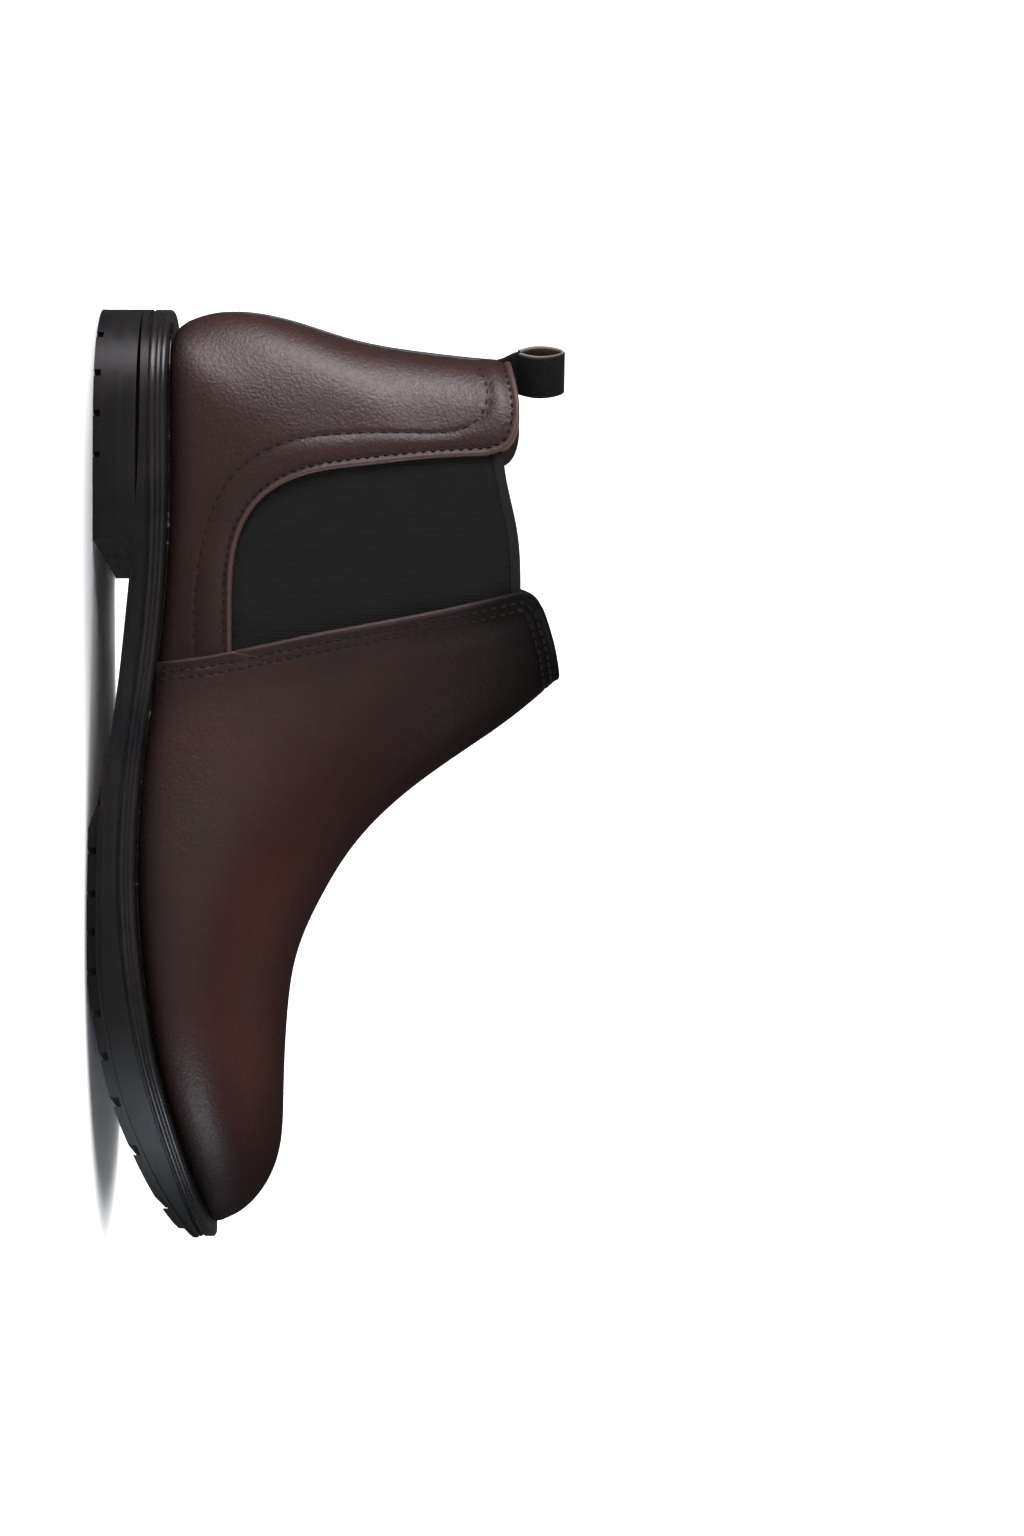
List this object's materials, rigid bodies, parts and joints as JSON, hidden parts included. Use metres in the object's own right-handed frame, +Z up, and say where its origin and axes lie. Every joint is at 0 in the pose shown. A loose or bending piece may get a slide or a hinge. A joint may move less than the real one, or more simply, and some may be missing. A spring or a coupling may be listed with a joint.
{
  "type": "chelsea boot",
  "caption": "Ankle-high slip-on leather boot with elastic side gores, a webbing pull loop at the back and a moulded rubber sole with a low heel.",
  "frame": {"origin": "centre of the bounding box in plan, on the ground under the heel", "axes": "+X from heel to toe, +Z up, -Y towards the outer (lateral) side of this right boot"},
  "size_m": [0.3, 0.1066, 0.148],
  "materials": {
    "outer_leather": "satin, fine grain, burnished edges",
    "lining_leather": "matt",
    "elastic": "ribbed elastic webbing",
    "tape": "woven selvedge",
    "webbing": "woven, taupe inside",
    "piping": "satin",
    "sole_rubber": "satin",
    "welt_rubber": "gloss",
    "board": "matt",
    "cork": "matt",
    "steel": "brushed",
    "stiffener": "matt",
    "foam": "open foam",
    "sock": "matt",
    "thread": "waxed thread",
    "cement": "gloss"
  },
  "bodies": {
    "boot": {"outsole": "sole_rubber", "welt": "welt_rubber", "heel_filler": "cork", "forepart_filler": "cork", "shank": "steel", "shank_rivets": "steel", "insole_board": "board", "heel_pad": "foam", "sock_liner": "sock", "toe_puff": "stiffener", "heel_counter": "stiffener", "vamp": "outer_leather", "vamp_crease": "outer_leather", "quarter_lateral": "outer_leather", "quarter_medial": "outer_leather", "gore_lateral": "elastic", "gore_medial": "elastic", "gore_tape_lateral": "tape", "gore_tape_medial": "tape", "vamp_lining": "lining_leather", "crease_lining": "lining_leather", "quarter_lining": "lining_leather", "back_piping": "piping", "pull_loop_tail": "webbing", "collar_foam_lateral": "foam", "collar_foam_medial": "foam"},
    "front_shaft": {"shaft_front": "outer_leather", "front_lining": "lining_leather"},
    "loop": {"pull_loop": "webbing"}
  },
  "joints": [
    {"name": "collar_opening", "type": "hinge", "parent": "boot", "child": "front_shaft", "pos_m": [-0.047, 0, 0.042], "axis": [0, 1, 0], "range_deg": [0, 10], "stiffness_Nm_per_rad": 3, "springref_deg": -1.15, "deforming": ["gore_lateral", "gore_medial", "gore_tape_lateral", "gore_tape_medial", "vamp_crease", "crease_lining"]},
    {"name": "pull_loop_swing", "type": "hinge", "parent": "boot", "child": "loop", "pos_m": [-0.13, 0, 0.1328], "axis": [0.5736, 0.8192, 0], "range_deg": [-50, 35], "stiffness_Nm_per_rad": 0.01}
  ]
}
